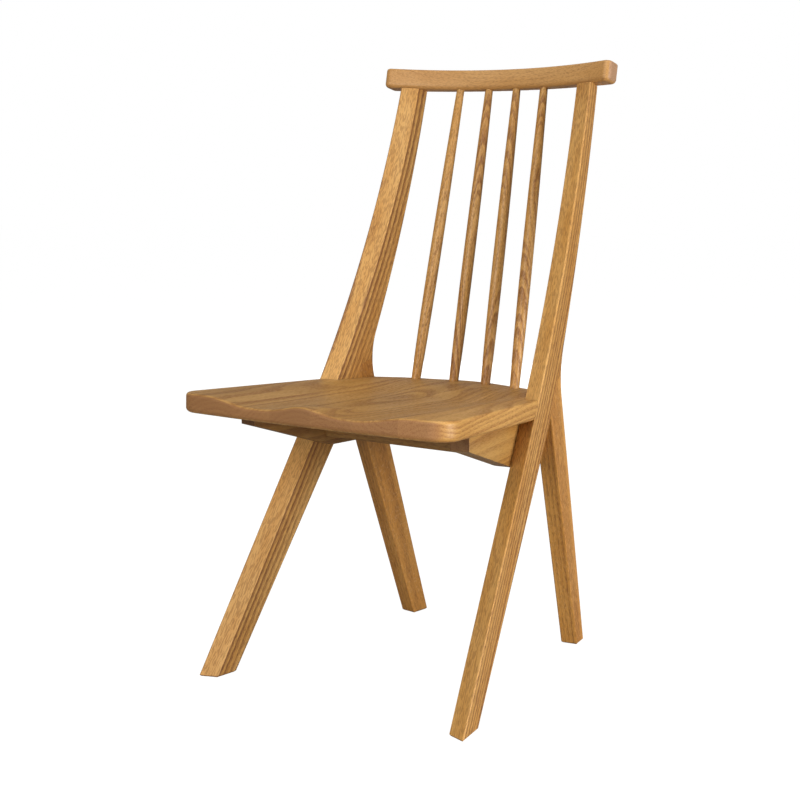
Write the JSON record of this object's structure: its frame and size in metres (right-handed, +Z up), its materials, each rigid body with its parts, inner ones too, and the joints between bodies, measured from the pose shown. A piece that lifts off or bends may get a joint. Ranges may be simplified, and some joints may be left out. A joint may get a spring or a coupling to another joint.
{
  "type": "dining chair",
  "caption": "Light oak dining chair: saddled solid seat, curved posts running on into raked front legs, rear legs let into the posts, turned back spindles and a curved top rail.",
  "frame": {"origin": "on the floor, midway across the chair and midway between its foremost and rearmost points", "axes": "+Z up, the sitter faces -Y, +X is the chair's left-hand side as seen by the sitter's back, which is the viewer's right from the front"},
  "size_m": [0.4606, 0.544, 0.9026],
  "materials": {
    "seat_wood": "satin",
    "post_wood": "satin",
    "leg_wood": "satin",
    "bearer_wood": "satin",
    "rail_wood": "satin",
    "spindle_wood": "satin",
    "dowel_wood": "satin",
    "screw_steel": "satin"
  },
  "bodies": {
    "root": {"seat_stave_1": "seat_wood", "seat_stave_2": "seat_wood", "seat_stave_3": "seat_wood", "seat_stave_4": "seat_wood", "seat_stave_5": "seat_wood", "seat_stave_6": "seat_wood", "post_left": "post_wood", "rear_leg_left": "leg_wood", "seat_bearer_left": "bearer_wood", "post_right": "post_wood", "rear_leg_right": "leg_wood", "seat_bearer_right": "bearer_wood", "crossbeam": "bearer_wood", "top_rail": "rail_wood", "spindle_1": "spindle_wood", "spindle_2": "spindle_wood", "spindle_3": "spindle_wood", "spindle_4": "spindle_wood", "scarf_dowels": "dowel_wood", "rail_dowels": "dowel_wood", "bearer_dowels": "dowel_wood", "beam_dowels": "dowel_wood", "seat_screws": "screw_steel"}
  },
  "joints": []
}
